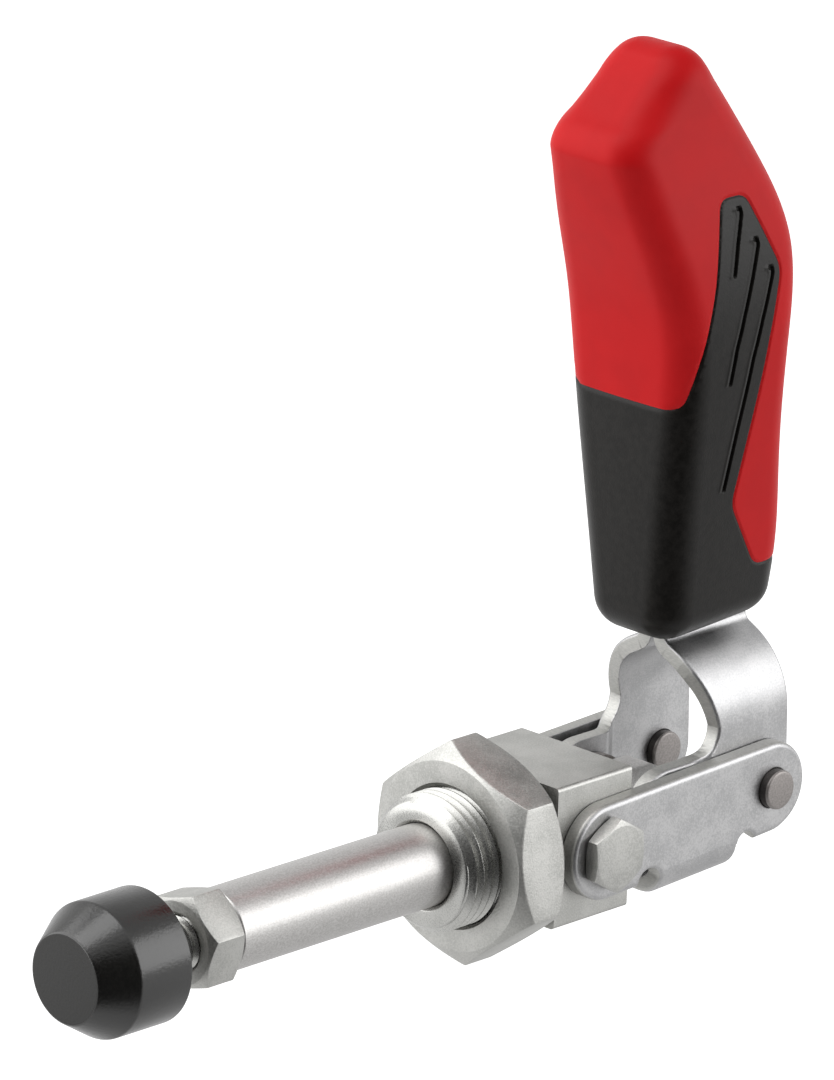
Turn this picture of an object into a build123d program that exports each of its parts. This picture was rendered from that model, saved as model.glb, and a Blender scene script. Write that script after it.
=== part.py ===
from build123d import *
from math import acos, cos, pi, radians, sin, sqrt, tan
import os

# Push-pull toggle clamp with a vertical lever, in millimetres.
# Origin: on the plunger's axis, in the plane of the guide body's front face.
# +X points along the plunger to the rubber cap, +Y to the near side, +Z up.

# Fits: radial clearance of running joints and of pressed-in pins, and the gap between passing plates.
RUN = 0.05
SEAT = 0.02
SIDE_GAP = 0.1

# Half length of cutting tools that have to pass through every piece.
REACH = 60.0

# Guide body: a block with a threaded neck.
BLOCK_LENGTH = 15.0
BLOCK_HALF_WIDTH = 11.0
BLOCK_HALF_HEIGHT = 10.5
BLOCK_EDGE = 0.6
NECK_R = 10.0
NECK_LENGTH = 16.0
NECK_LEAD = 1.1
MOUTH_LEAD = 0.5

# Plunger rod, its tapped front end and its rear eye.
ROD_R = 6.0
ROD_FRONT = 56.6
ROD_LEAD = 0.6
EYE_HALF_WIDTH = 5.2
EYE_FLAT_LENGTH = 14.0
ROD_HOLE_END = 21.0
DRILL_CONE = 2.4

# Clamping screw, its nut and the cap on its head.
SCREW_R = 4.0
SCREW_REAR = 29.0
SCREW_LEAD = 0.7
SCREW_HEAD_AF = 13.0
SCREW_HEAD_REAR = 71.0
SCREW_HEAD_FRONT = 76.3
JAM_AF = 12.8
JAM_THICKNESS = 6.5
JAM_FACE_R = 6.05
JAM_CHAMFER_ANGLE = 30.0
JAM_CORNER_ANGLE = 14.4
CAP_REAR = 69.6
CAP_BEND = 79.0
CAP_FRONT = 84.2
CAP_REAR_R = 9.75
CAP_BEND_R = 9.67
CAP_FRONT_R = 6.46
CAP_EDGE = 0.8

# Mounting nut on the neck.
NUT_AF = 28.5
NUT_REAR = 1.35
NUT_FRONT = 10.42
NUT_FACE_R = 13.8
NUT_LEAD_R = 10.6
NUT_CHAMFER_DEPTH = 2.07
NUT_CORNER_ANGLE = 37.2

# Pivots in the XZ plane. A is on the guide body, B joins yoke and lever, C is the plunger's pin.
PIVOT_A_INSET = 7.1
PIVOT_A = (PIVOT_A_INSET - BLOCK_LENGTH, 0.0)
LINK_AB = 34.34
YOKE_TILT = 2.75
PIVOT_B = (
    PIVOT_A[0] - LINK_AB * cos(radians(YOKE_TILT)),
    LINK_AB * sin(radians(YOKE_TILT)),
)
A_TO_C = 18.1
PIVOT_C = (PIVOT_A[0] - A_TO_C, 0.0)
PIN_R = 3.0
SPACER_R = 5.2
RIVET_R = 2.9
RIVET_INNER_Y = 6.95
RIVET_OUTER_Y = 15.1
RIVET_DOME = 0.4

# Bolts and bushes at pivot A.
BUSH_R = 4.0
BOLT_SHANK_R = 3.0
BOLT_HEAD_AF = 9.6
BOLT_HEAD_HEIGHT = 2.4
BOLT_HEAD_CHAMFER = 0.35
BOLT_CORNER_ANGLE = 30.9
BOLT_TIP_Y = ROD_R + 0.5

# Sheet of the yoke and of the two lever plates.
SHEET = 2.5
YOKE_INNER_Y = BLOCK_HALF_WIDTH + SIDE_GAP
YOKE_OUTER_Y = YOKE_INNER_Y + SHEET
YOKE_FRONT_R = 7.0
YOKE_REAR_R = 6.65
YOKE_EDGE = 0.6
SKIRT_FRONT = -11.0
SKIRT_REAR = -27.1
SKIRT_BOTTOM = -10.5
BEND_OUTER_R = 4.5
FRONT_NOTCH = (-8.74, -7.63)
FRONT_NOTCH_R = 2.4
REAR_NOTCH = (-28.9, -7.2)
REAR_NOTCH_R = 1.8

# Lever plates: ear, lobe, inward curve and tang. Here and in the grip, points are (x, z) with x counted
# from pivot B and z from the plunger's axis, and the lobe's x from the plunger's pin.
EAR_OUTER_Y = YOKE_INNER_Y - 0.2
EAR_INNER_Y = EAR_OUTER_Y - SHEET
EAR_REAR_R = 6.0
LOBE_FROM_PIN = (1.7, 0.5)
LOBE_R = 6.9
LOBE_SET_IN = 1.2
SET_FRONT = -3.2
SET_REAR = -6.2
SET_TOP_Z = 11.8
THROAT_R = 4.5
THROAT_FRONT = 13.5
NECK_FRONT = [(11.2, 18.3), (11.7, 20.0), (12.2, 24.5)]
CURVE_START_Z = SET_TOP_Z + 0.2
CURVE_OUTER_R = 12.0
CURVE_TURN = 62.0
SLOPE_LEAST = 0.3
TANG_BEND_R = 2.75
TANG_GAP = 0.05
TANG_TOP = 62.0
TANG_FRONT = 12.2
TANG_REAR = -0.3
TANG_SHOULDER_Z = 27.5
EAR_TOP_REAR = (-5.1, 24.2)

# Grip: its outline from the side, its half widths as (y, z), and the border of its two plastics.
GRIP_CORNER_R = 5.0
GRIP_FRONT = [
    (18.2, 24.4),
    (19.3, 38.2),
    (20.6, 58.0),
    (22.5, 74.8),
    (26.8, 86.9),
    (30.6, 97.6),
]
GRIP_NOSE = [(30.0, 100.2), (28.0, 102.2)]
GRIP_APEX = [(19.7, 110.0), (15.6, 111.8), (11.6, 109.6)]
GRIP_REAR = [
    (11.6, 109.6),
    (1.2, 94.5),
    (-3.7, 83.0),
    (-3.6, 68.8),
    (-5.0, 47.5),
    (-6.1, 38.0),
    (-5.5, 25.9),
]
GRIP_SIDE = [
    (8.4, 23.6),
    (9.7, 38.2),
    (11.7, 56.7),
    (12.8, 72.0),
    (11.6, 85.5),
    (9.6, 97.0),
    (7.6, 113.0),
]
PANEL_CORNER_R = 2.0
PANEL = [
    (19.2, 60.9),
    (17.8, 68.1),
    (15.3, 78.6),
    (13.4, 90.8),
    (8.3, 90.8),
    (1.8, 79.3),
    (3.9, 69.5),
    (7.9, 44.9),
    (1.3, 34.4),
]

# Slot in the grip for the tangs.
TANG_FIT = 0.1
MOUTH_HALF_WIDTH = 4.6
MOUTH_OUTLINE = [
    (12.6, 20.0),
    (12.6, 25.8),
    (1.2, 25.8),
    (-0.4, 27.7),
    (-7.8, 22.6),
    (-7.8, 20.0),
]
SPINE_FRONT = 15.2
SPINE_REAR = -2.3
SPINE_TOP = 66.0
SPINE_HALF_WIDTH = 5.0


def hexagon(across_flats, corner_angle):
    """A hexagon with its first corner at the given angle."""
    return RegularPolygon(across_flats / sqrt(3), 6, rotation=corner_angle)


def x_cylinder(radius, start, end):
    """A cylinder along X between two stations."""
    return Plane.YZ.offset(start) * extrude(Circle(radius), end - start)


def y_cylinder(radius, centre, start, end):
    """A cylinder along Y at a point of the XZ plane."""
    plane = Plane(origin=(centre[0], start, centre[1]), x_dir=(1, 0, 0), z_dir=(0, 1, 0))
    return plane * extrude(Circle(radius), end - start)


def x_turned(points):
    """A solid turned about X from (x, radius) points."""
    return revolve(make_face(Polyline(*[(x, 0, r) for x, r in points], close=True)), Axis.X)


def xz_prism(edges, start, end):
    """A prism along Y from edges given as (x, z)."""
    return extrude(Plane.XZ.offset(-start) * make_face(edges), start - end)


def from_b(points):
    """Points counted from pivot B, as (x, z) of the whole clamp."""
    return [(PIVOT_B[0] + x, z) for x, z in points]


def build_guide_body():
    block = Pos(-BLOCK_LENGTH / 2, 0, 0) * Box(
        BLOCK_LENGTH, 2 * BLOCK_HALF_WIDTH, 2 * BLOCK_HALF_HEIGHT
    )
    block = fillet(block.edges().filter_by(Axis.X), BLOCK_EDGE)
    neck = x_turned([
        (-BLOCK_EDGE, 0),
        (-BLOCK_EDGE, NECK_R),
        (NECK_LENGTH - NECK_LEAD, NECK_R),
        (NECK_LENGTH, NECK_R - NECK_LEAD),
        (NECK_LENGTH, 0),
    ])
    bore_r = ROD_R + RUN
    bore = x_turned([
        (-BLOCK_LENGTH - 1, 0),
        (-BLOCK_LENGTH - 1, bore_r),
        (NECK_LENGTH - MOUTH_LEAD, bore_r),
        (NECK_LENGTH + 1, bore_r + MOUTH_LEAD + 1),
        (NECK_LENGTH + 1, 0),
    ])
    bolt_holes = y_cylinder(BOLT_SHANK_R + RUN, PIVOT_A, -REACH, REACH)
    return block + neck - bore - bolt_holes


def build_mounting_nut():
    prism = Plane.YZ.offset(NUT_REAR) * extrude(
        hexagon(NUT_AF, NUT_CORNER_ANGLE), NUT_FRONT - NUT_REAR
    )
    corner_r = NUT_AF / sqrt(3)
    barrel = x_turned([
        (NUT_REAR, 0),
        (NUT_REAR, NUT_FACE_R),
        (NUT_REAR + NUT_CHAMFER_DEPTH, corner_r),
        (NUT_FRONT - NUT_CHAMFER_DEPTH, corner_r),
        (NUT_FRONT, NUT_FACE_R),
        (NUT_FRONT, 0),
    ])
    hole_r = NECK_R + RUN
    lead = NUT_LEAD_R - hole_r
    hole = x_turned([
        (NUT_REAR, 0),
        (NUT_REAR, NUT_LEAD_R),
        (NUT_REAR + lead, hole_r),
        (NUT_FRONT - lead, hole_r),
        (NUT_FRONT, NUT_LEAD_R),
        (NUT_FRONT, 0),
    ])
    return (prism & barrel) - hole


def build_plunger():
    rear = PIVOT_C[0] - ROD_R
    rod = x_turned([
        (rear, 0),
        (rear, ROD_R),
        (ROD_FRONT - ROD_LEAD, ROD_R),
        (ROD_FRONT, ROD_R - ROD_LEAD),
        (ROD_FRONT, 0),
    ])
    length = ROD_FRONT - PIVOT_C[0] + ROD_R
    keep = Pos(PIVOT_C[0] + length / 2, 0, 0) * Box(length, 4 * ROD_R, 4 * ROD_R)
    keep += y_cylinder(ROD_R, PIVOT_C, -2 * ROD_R, 2 * ROD_R)
    rod = rod & keep
    flat_x = rear + EYE_FLAT_LENGTH / 2
    for side in (1, -1):
        flat_y = side * (EYE_HALF_WIDTH + ROD_R)
        rod -= Pos(flat_x, flat_y, 0) * Box(EYE_FLAT_LENGTH, 2 * ROD_R, 4 * ROD_R)
    screw_hole_r = SCREW_R + RUN
    hole = x_turned([
        (ROD_HOLE_END - DRILL_CONE, 0),
        (ROD_HOLE_END, screw_hole_r),
        (ROD_FRONT + 1, screw_hole_r),
        (ROD_FRONT + 1, 0),
    ])
    eye = y_cylinder(PIN_R + RUN, PIVOT_C, -REACH, REACH)
    return rod - hole - eye


def build_clamping_screw():
    shank = x_turned([
        (SCREW_REAR, 0),
        (SCREW_REAR, SCREW_R - SCREW_LEAD),
        (SCREW_REAR + SCREW_LEAD, SCREW_R),
        (SCREW_HEAD_REAR + 1, SCREW_R),
        (SCREW_HEAD_REAR + 1, 0),
    ])
    head = Plane.YZ.offset(SCREW_HEAD_REAR) * extrude(
        hexagon(SCREW_HEAD_AF, 0), SCREW_HEAD_FRONT - SCREW_HEAD_REAR
    )
    return shank + head


def build_jam_nut():
    front = ROD_FRONT + JAM_THICKNESS
    prism = Plane.YZ.offset(ROD_FRONT) * extrude(hexagon(JAM_AF, JAM_CORNER_ANGLE), JAM_THICKNESS)
    corner_r = JAM_AF / sqrt(3)
    depth = (corner_r - JAM_FACE_R) * tan(radians(JAM_CHAMFER_ANGLE))
    barrel = x_turned([
        (ROD_FRONT, 0),
        (ROD_FRONT, JAM_FACE_R),
        (ROD_FRONT + depth, corner_r),
        (front - depth, corner_r),
        (front, JAM_FACE_R),
        (front, 0),
    ])
    return (prism & barrel) - x_cylinder(SCREW_R + RUN, ROD_FRONT - 1, front + 1)


def build_rubber_cap():
    cap = x_turned([
        (CAP_REAR, 0),
        (CAP_REAR, CAP_REAR_R),
        (CAP_BEND, CAP_BEND_R),
        (CAP_FRONT, CAP_FRONT_R),
        (CAP_FRONT, 0),
    ])
    rims = cap.edges().filter_by(GeomType.CIRCLE)
    cap = fillet(rims.sort_by(Axis.X)[0], CAP_EDGE)
    rims = cap.edges().filter_by(GeomType.CIRCLE)
    cap = fillet(rims.sort_by(Axis.X)[-1], CAP_EDGE)
    pocket = Plane.YZ.offset(SCREW_HEAD_REAR - RUN) * extrude(
        hexagon(SCREW_HEAD_AF + 2 * RUN, 0), SCREW_HEAD_FRONT - SCREW_HEAD_REAR + 2 * RUN
    )
    return cap - pocket - x_cylinder(SCREW_R + RUN, CAP_REAR - 1, SCREW_HEAD_REAR + 1)


def build_yoke():
    # Drawn with pivot A at the origin and B on -X, then tilted into place.
    bend_z = SKIRT_BOTTOM + BEND_OUTER_R
    skirt_x = (SKIRT_FRONT + SKIRT_REAR) / 2
    skirt_length = SKIRT_FRONT - SKIRT_REAR
    outline = make_face([
        Line((0, YOKE_FRONT_R), (-LINK_AB, YOKE_REAR_R)),
        ThreePointArc(
            (-LINK_AB, YOKE_REAR_R), (-LINK_AB - YOKE_REAR_R, 0), (-LINK_AB, -YOKE_REAR_R)
        ),
        Line((-LINK_AB, -YOKE_REAR_R), (0, -YOKE_FRONT_R)),
        ThreePointArc((0, -YOKE_FRONT_R), (YOKE_FRONT_R, 0), (0, YOKE_FRONT_R)),
    ])
    outline -= Pos(*FRONT_NOTCH) * Circle(FRONT_NOTCH_R)
    outline -= Pos(*REAR_NOTCH) * Circle(REAR_NOTCH_R)
    outline += Pos(skirt_x, bend_z / 2) * Rectangle(skirt_length, -bend_z)
    outline -= Pos(skirt_x, bend_z - REACH / 2) * Rectangle(skirt_length, REACH)
    section = Pos(0, SKIRT_BOTTOM + REACH / 2) * RectangleRounded(
        2 * YOKE_OUTER_Y, REACH, BEND_OUTER_R
    )
    section -= Pos(0, SKIRT_BOTTOM + SHEET + REACH / 2) * RectangleRounded(
        2 * YOKE_INNER_Y, REACH, BEND_OUTER_R - SHEET
    )
    section -= Pos(0, bend_z + REACH) * Rectangle(3 * YOKE_OUTER_Y, 2 * REACH)
    yoke = Plane.YZ.offset(SKIRT_REAR) * extrude(section, skirt_length)
    for side in (1, -1):
        plate = extrude(Plane.XZ.offset(-side * YOKE_INNER_Y) * outline, -side * SHEET)
        rim = plate.faces().sort_by(Axis.Y)[-1 if side > 0 else 0].edges()
        rim = rim.filter_by(lambda e: not e.bounding_box().min.Z < bend_z + 0.01)
        yoke += fillet(rim, YOKE_EDGE)
    yoke -= y_cylinder(BUSH_R + RUN, (0, 0), -REACH, REACH)
    yoke -= y_cylinder(RIVET_R + SEAT, (-LINK_AB, 0), -REACH, REACH)
    return Pos(PIVOT_A[0], 0, PIVOT_A[1]) * Rot(0, YOKE_TILT, 0) * yoke


def build_pivot_bolt(side):
    head_y = YOKE_OUTER_Y + SIDE_GAP
    plane = Plane(
        origin=(PIVOT_A[0], side * head_y, PIVOT_A[1]), x_dir=(1, 0, 0), z_dir=(0, side, 0)
    )
    head = plane * extrude(hexagon(BOLT_HEAD_AF, -side * BOLT_CORNER_ANGLE), BOLT_HEAD_HEIGHT)
    head_top = head.faces().sort_by(Axis.Y)[-1 if side > 0 else 0]
    head = chamfer(head_top.edges(), BOLT_HEAD_CHAMFER)
    shank = y_cylinder(BOLT_SHANK_R, PIVOT_A, side * BOLT_TIP_Y, side * head_y)
    return head + shank


def build_pivot_bush(side):
    outer_y = YOKE_OUTER_Y + SIDE_GAP
    ring = y_cylinder(BUSH_R, PIVOT_A, side * BLOCK_HALF_WIDTH, side * outer_y)
    return ring - y_cylinder(BOLT_SHANK_R + RUN, PIVOT_A, -REACH, REACH)


def build_link_rivet(side):
    rivet = y_cylinder(RIVET_R, PIVOT_B, side * RIVET_INNER_Y, side * RIVET_OUTER_Y)
    return chamfer(rivet.edges().filter_by(GeomType.CIRCLE), RIVET_DOME)


def lever_outline():
    rear_start = (PIVOT_B[0] - EAR_REAR_R, PIVOT_B[1])
    bottom = (PIVOT_B[0], PIVOT_B[1] - EAR_REAR_R)
    diagonal = sin(radians(45))
    ear_mid = (PIVOT_B[0] - EAR_REAR_R * diagonal, PIVOT_B[1] - EAR_REAR_R * diagonal)
    lobe_x = PIVOT_C[0] + LOBE_FROM_PIN[0]
    lobe_z = PIVOT_C[1] + LOBE_FROM_PIN[1]
    lobe_low = (lobe_x, lobe_z - LOBE_R)
    lobe_tip = (lobe_x + LOBE_R, lobe_z)
    lobe_top = (lobe_x, lobe_z + LOBE_R)
    neck_low, neck_mid, neck_top, tang_front, tang_rear, shoulder, ear_top = from_b([
        *NECK_FRONT,
        (TANG_FRONT, TANG_TOP),
        (TANG_REAR, TANG_TOP),
        (TANG_REAR, TANG_SHOULDER_Z),
        EAR_TOP_REAR,
    ])
    throat_x = PIVOT_B[0] + THROAT_FRONT
    throat_z = lobe_top[1] + THROAT_R
    throat_mid = (throat_x - THROAT_R * diagonal, throat_z - THROAT_R * diagonal)
    throat_end = (throat_x - THROAT_R, throat_z)
    return [
        ThreePointArc(rear_start, ear_mid, bottom),
        Line(bottom, lobe_low),
        ThreePointArc(lobe_low, lobe_tip, lobe_top),
        Line(lobe_top, (throat_x, lobe_top[1])),
        ThreePointArc((throat_x, lobe_top[1]), throat_mid, throat_end),
        Line(throat_end, neck_low),
        ThreePointArc(neck_low, neck_mid, neck_top),
        Line(neck_top, tang_front),
        Line(tang_front, tang_rear),
        Line(tang_rear, shoulder),
        Line(shoulder, ear_top),
        Line(ear_top, rear_start),
    ]


def polar(centre, radius, angle):
    """A point of the YZ plane at a radius and an angle from a centre."""
    return (centre[0] + radius * cos(angle), centre[1] + radius * sin(angle))


def curved_band():
    """The lever plate's thickness seen along X: bent inwards, then up into the tang."""
    bend_out = TANG_BEND_R + SHEET / 2
    bend_in = TANG_BEND_R - SHEET / 2
    turn = radians(CURVE_TURN)
    bend_y = TANG_GAP + bend_out
    # A narrower clamp has less room between ear and tang, so its curve gets tighter.
    room = EAR_OUTER_Y + bend_in * cos(turn) - bend_y - SLOPE_LEAST * sin(turn)
    curve_out = min(CURVE_OUTER_R, room / (1 - cos(turn)))
    curve_in = curve_out - SHEET
    centre = (EAR_OUTER_Y - curve_out, CURVE_START_Z)
    both_r = curve_out + bend_in
    slope_length = (centre[0] + both_r * cos(turn) - bend_y) / sin(turn)
    bend = (bend_y, CURVE_START_Z + both_r * sin(turn) + slope_length * cos(turn))
    outer = [
        Line((EAR_OUTER_Y, SET_TOP_Z), (EAR_OUTER_Y, CURVE_START_Z)),
        ThreePointArc(
            (EAR_OUTER_Y, CURVE_START_Z),
            polar(centre, curve_out, turn / 2),
            polar(centre, curve_out, turn),
        ),
        Line(polar(centre, curve_out, turn), polar(bend, bend_in, pi + turn)),
        ThreePointArc(
            polar(bend, bend_in, pi + turn),
            polar(bend, bend_in, pi + turn / 2),
            (bend[0] - bend_in, bend[1]),
        ),
        Line((bend[0] - bend_in, bend[1]), (bend[0] - bend_in, TANG_TOP + SHEET)),
    ]
    inner = [
        Line((TANG_GAP, TANG_TOP + SHEET), (TANG_GAP, bend[1])),
        ThreePointArc(
            (TANG_GAP, bend[1]),
            polar(bend, bend_out, pi + turn / 2),
            polar(bend, bend_out, pi + turn),
        ),
        Line(polar(bend, bend_out, pi + turn), polar(centre, curve_in, turn)),
        ThreePointArc(
            polar(centre, curve_in, turn),
            polar(centre, curve_in, turn / 2),
            (EAR_INNER_Y, CURVE_START_Z),
        ),
        Line((EAR_INNER_Y, CURVE_START_Z), (EAR_INNER_Y, SET_TOP_Z)),
    ]
    top = Line(outer[-1] @ 1, inner[0] @ 0)
    foot = Line((EAR_INNER_Y, SET_TOP_Z), (EAR_OUTER_Y, SET_TOP_Z))
    return Plane.YZ.offset(-REACH) * extrude(make_face(outer + [top] + inner + [foot]), REACH)


def stepped_band():
    """The lever plate's thickness seen along Z: the ear, and the lobe set inwards."""
    outer = EAR_OUTER_Y - LOBE_SET_IN
    inner = EAR_INNER_Y - LOBE_SET_IN
    front = PIVOT_C[0] + SET_FRONT
    rear = PIVOT_C[0] + SET_REAR
    points = [
        (-REACH, EAR_OUTER_Y),
        (rear, EAR_OUTER_Y),
        (front, outer),
        (0, outer),
        (0, inner),
        (front, inner),
        (rear, EAR_INNER_Y),
        (-REACH, EAR_INNER_Y),
    ]
    band = make_face(Polyline(*points, close=True))
    return Pos(0, 0, -REACH) * extrude(band, REACH + SET_TOP_Z)


def build_lever_plate(side):
    stock = xz_prism(lever_outline(), 0, 2 * EAR_OUTER_Y)
    plate = (stock & curved_band()) + (stock & stepped_band())
    plate -= y_cylinder(RIVET_R + RUN, PIVOT_B, 0, REACH)
    plate -= y_cylinder(PIN_R + RUN, PIVOT_C, 0, REACH)
    if side < 0:
        plate = mirror(plate, Plane.XZ)
    return plate


def build_plunger_pin():
    end = RIVET_INNER_Y - SIDE_GAP
    return y_cylinder(PIN_R, PIVOT_C, -end, end)


def build_pin_spacer(side):
    inner = EYE_HALF_WIDTH + RUN
    outer = RIVET_INNER_Y - SIDE_GAP
    ring = y_cylinder(SPACER_R, PIVOT_C, side * inner, side * outer)
    return ring - y_cylinder(PIN_R + RUN, PIVOT_C, -REACH, REACH)


def is_upper_cross_edge(edge):
    """True for the joints between the side outline's curves, which are smooth already."""
    straight = abs((edge @ 1 - edge @ 0).normalized().Y) > 0.999
    return straight and edge.center().Z > GRIP_REAR[-1][1] + 1


def grip_blank():
    """The whole grip before it is divided: side outline and end outline crossed, edges rounded."""
    front = Spline(*from_b(GRIP_FRONT))
    nose = ThreePointArc(front @ 1, *from_b(GRIP_NOSE))
    apex = ThreePointArc(*from_b(GRIP_APEX))
    slope = Line(nose @ 1, apex @ 0)
    rear = Spline(*from_b(GRIP_REAR))
    base = Line(rear @ 1, front @ 0)
    blank = xz_prism([front, nose, slope, apex, rear, base], -REACH, REACH)
    near = Spline(*GRIP_SIDE)
    far = Spline(*[(-y, z) for y, z in GRIP_SIDE])
    end = [near, Line(near @ 1, far @ 1), far, Line(far @ 0, near @ 0)]
    blank = blank & (Plane.YZ.offset(-REACH) * extrude(make_face(end), REACH))
    rounded = blank.edges().filter_by(lambda e: not is_upper_cross_edge(e))
    return fillet(rounded, GRIP_CORNER_R)


def panel_prism():
    """The region of the hard plastic, seen from the side: the side panels and the foot."""
    front_z = PANEL[0][1]
    rear_z = PANEL[-1][1]
    points = [(0, 0), (0, front_z), *from_b(PANEL), (-REACH, rear_z), (-REACH, 0)]
    border = FilletPolyline(*points, radius=PANEL_CORNER_R, close=True)
    return xz_prism(border.edges(), -REACH, REACH)


def tang_pocket():
    """The slot that takes both tangs, flared at its mouth for their bends."""
    length = TANG_FRONT - TANG_REAR + 2 * TANG_FIT
    centre_x = PIVOT_B[0] + (TANG_FRONT + TANG_REAR) / 2
    depth = TANG_TOP + TANG_FIT
    half_width = TANG_GAP + SHEET + TANG_FIT
    slot = Pos(centre_x, 0, depth / 2) * Box(length, 2 * half_width, depth)
    mouth = Polyline(*from_b(MOUTH_OUTLINE), close=True)
    return slot + xz_prism([mouth], -MOUTH_HALF_WIDTH, MOUTH_HALF_WIDTH)


def spine():
    """The hard plastic's inner post around the slot, under the soft shell."""
    length = SPINE_FRONT - SPINE_REAR
    centre_x = PIVOT_B[0] + (SPINE_FRONT + SPINE_REAR) / 2
    return Pos(centre_x, 0, SPINE_TOP / 2) * Box(length, 2 * SPINE_HALF_WIDTH, SPINE_TOP)


def build_grip_core():
    return (grip_blank() & (panel_prism() + spine())) - tang_pocket()


def build_grip_shell():
    return grip_blank() - panel_prism() - spine()


os.makedirs("parts", exist_ok=True)

pieces = {
    "guide_body": build_guide_body(),
    "mounting_nut": build_mounting_nut(),
    "plunger": build_plunger(),
    "clamping_screw": build_clamping_screw(),
    "jam_nut": build_jam_nut(),
    "rubber_cap": build_rubber_cap(),
    "link_yoke": build_yoke(),
    "pivot_bolt_near": build_pivot_bolt(1),
    "pivot_bolt_far": build_pivot_bolt(-1),
    "pivot_bush_near": build_pivot_bush(1),
    "pivot_bush_far": build_pivot_bush(-1),
    "link_rivet_near": build_link_rivet(1),
    "link_rivet_far": build_link_rivet(-1),
    "lever_plate_near": build_lever_plate(1),
    "lever_plate_far": build_lever_plate(-1),
    "plunger_pin": build_plunger_pin(),
    "pin_spacer_near": build_pin_spacer(1),
    "pin_spacer_far": build_pin_spacer(-1),
    "grip_core": build_grip_core(),
    "grip_shell": build_grip_shell(),
}

for name, shape in pieces.items():
    export_step(shape, f"parts/{name}.step")
    box = shape.bounding_box()
    print(name, len(shape.solids()), round(shape.volume, 1), box.min, box.max)
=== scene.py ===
# %% [markdown]
# # A push-pull toggle clamp
# The clamp is a steel guide body with a threaded neck, a plunger that slides through it, a bent lever
# with a soft grip, and a rubber cap that presses on the work. The solids are made already, and this
# file gives them their looks. It keeps their places and sizes: everything is in metres, and the
# plunger lies along X. Most steel pieces are made again here, because a thread, a softened edge or a
# sheared band shows in the picture and isn't in the solids.

# %% Load the clamp's solids
import math

import bmesh
import bpy
import numpy as np
from mathutils import Matrix, Vector
from mathutils import geometry as mathutils_geometry


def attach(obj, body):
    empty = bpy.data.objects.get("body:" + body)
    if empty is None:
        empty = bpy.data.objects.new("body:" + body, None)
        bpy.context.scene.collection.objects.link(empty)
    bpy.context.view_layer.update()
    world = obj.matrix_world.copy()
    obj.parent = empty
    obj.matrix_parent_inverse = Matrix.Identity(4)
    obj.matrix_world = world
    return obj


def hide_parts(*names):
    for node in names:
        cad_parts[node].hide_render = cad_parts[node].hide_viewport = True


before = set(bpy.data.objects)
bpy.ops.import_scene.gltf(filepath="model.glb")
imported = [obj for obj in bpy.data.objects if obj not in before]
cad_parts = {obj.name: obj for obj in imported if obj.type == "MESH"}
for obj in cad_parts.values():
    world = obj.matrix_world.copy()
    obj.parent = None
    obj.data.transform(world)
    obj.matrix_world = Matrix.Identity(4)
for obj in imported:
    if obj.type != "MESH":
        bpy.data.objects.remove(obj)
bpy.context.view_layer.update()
MM = 0.001

# %% [markdown]
# ## Camera
# The picture is taken from the front left, a little above the plunger, with a long lens: lines that are
# parallel on the clamp stay nearly parallel. A camera far away with a long focal length does the same.
# The numbers were found by fitting the corners of the nut, the block and the lever to the picture.

# %% Place the camera
CAMERA_TURN = math.radians(43.8696)
CAMERA_RISE = math.radians(18.0466)
CAMERA_ROLL = math.radians(1.8996)
CLAMP_IN_VIEW = Vector((11.6295, 42.1928, 1266.9650)) * MM
FOCAL_PIXELS = 9000.0
IMAGE_WIDTH = 834.0

toward = Vector((
    math.cos(CAMERA_RISE) * math.cos(CAMERA_TURN),
    math.cos(CAMERA_RISE) * math.sin(CAMERA_TURN),
    math.sin(CAMERA_RISE),
))
level_right = (-toward).cross(Vector((0, 0, 1))).normalized()
level_down = (-toward).cross(level_right)
right = math.cos(CAMERA_ROLL) * level_right - math.sin(CAMERA_ROLL) * level_down
down = math.sin(CAMERA_ROLL) * level_right + math.cos(CAMERA_ROLL) * level_down
place = -(right * CLAMP_IN_VIEW.x + down * CLAMP_IN_VIEW.y - toward * CLAMP_IN_VIEW.z)

lens = bpy.data.cameras.new("camera")
lens.sensor_fit = "HORIZONTAL"
lens.sensor_width = 36.0
lens.lens = lens.sensor_width * FOCAL_PIXELS / IMAGE_WIDTH
lens.clip_start = 0.05
lens.clip_end = 20.0
camera = bpy.data.objects.new("camera", lens)
tilt = Matrix((right, -down, toward)).transposed().to_4x4()
camera.matrix_world = Matrix.Translation(place) @ tilt
bpy.context.scene.collection.objects.link(camera)
bpy.context.scene.camera = camera
print("camera at", [round(v, 3) for v in place], "focal length", round(lens.lens, 1), "mm")

# %% [markdown]
# ## A short way to write materials
# A material is a small calculation that runs at every point of a surface. Each step is a node with
# sockets. Wrapping a socket in a class that knows the arithmetic signs lets the calculation read like
# one, so `1 - dust` adds the node for it.

# %% Sockets that take arithmetic
class Wire:
    def __init__(self, finish, socket):
        self.finish = finish
        self.socket = socket

    def math(self, operation, first, second):
        return self.finish.node("ShaderNodeMath", {"operation": operation}, {0: first, 1: second})

    def __add__(self, other):
        return self.math("ADD", self, other)

    def __sub__(self, other):
        return self.math("SUBTRACT", self, other)

    def __rsub__(self, other):
        return self.math("SUBTRACT", other, self)

    def __mul__(self, other):
        return self.math("MULTIPLY", self, other)

    __radd__ = __add__
    __rmul__ = __mul__


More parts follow.
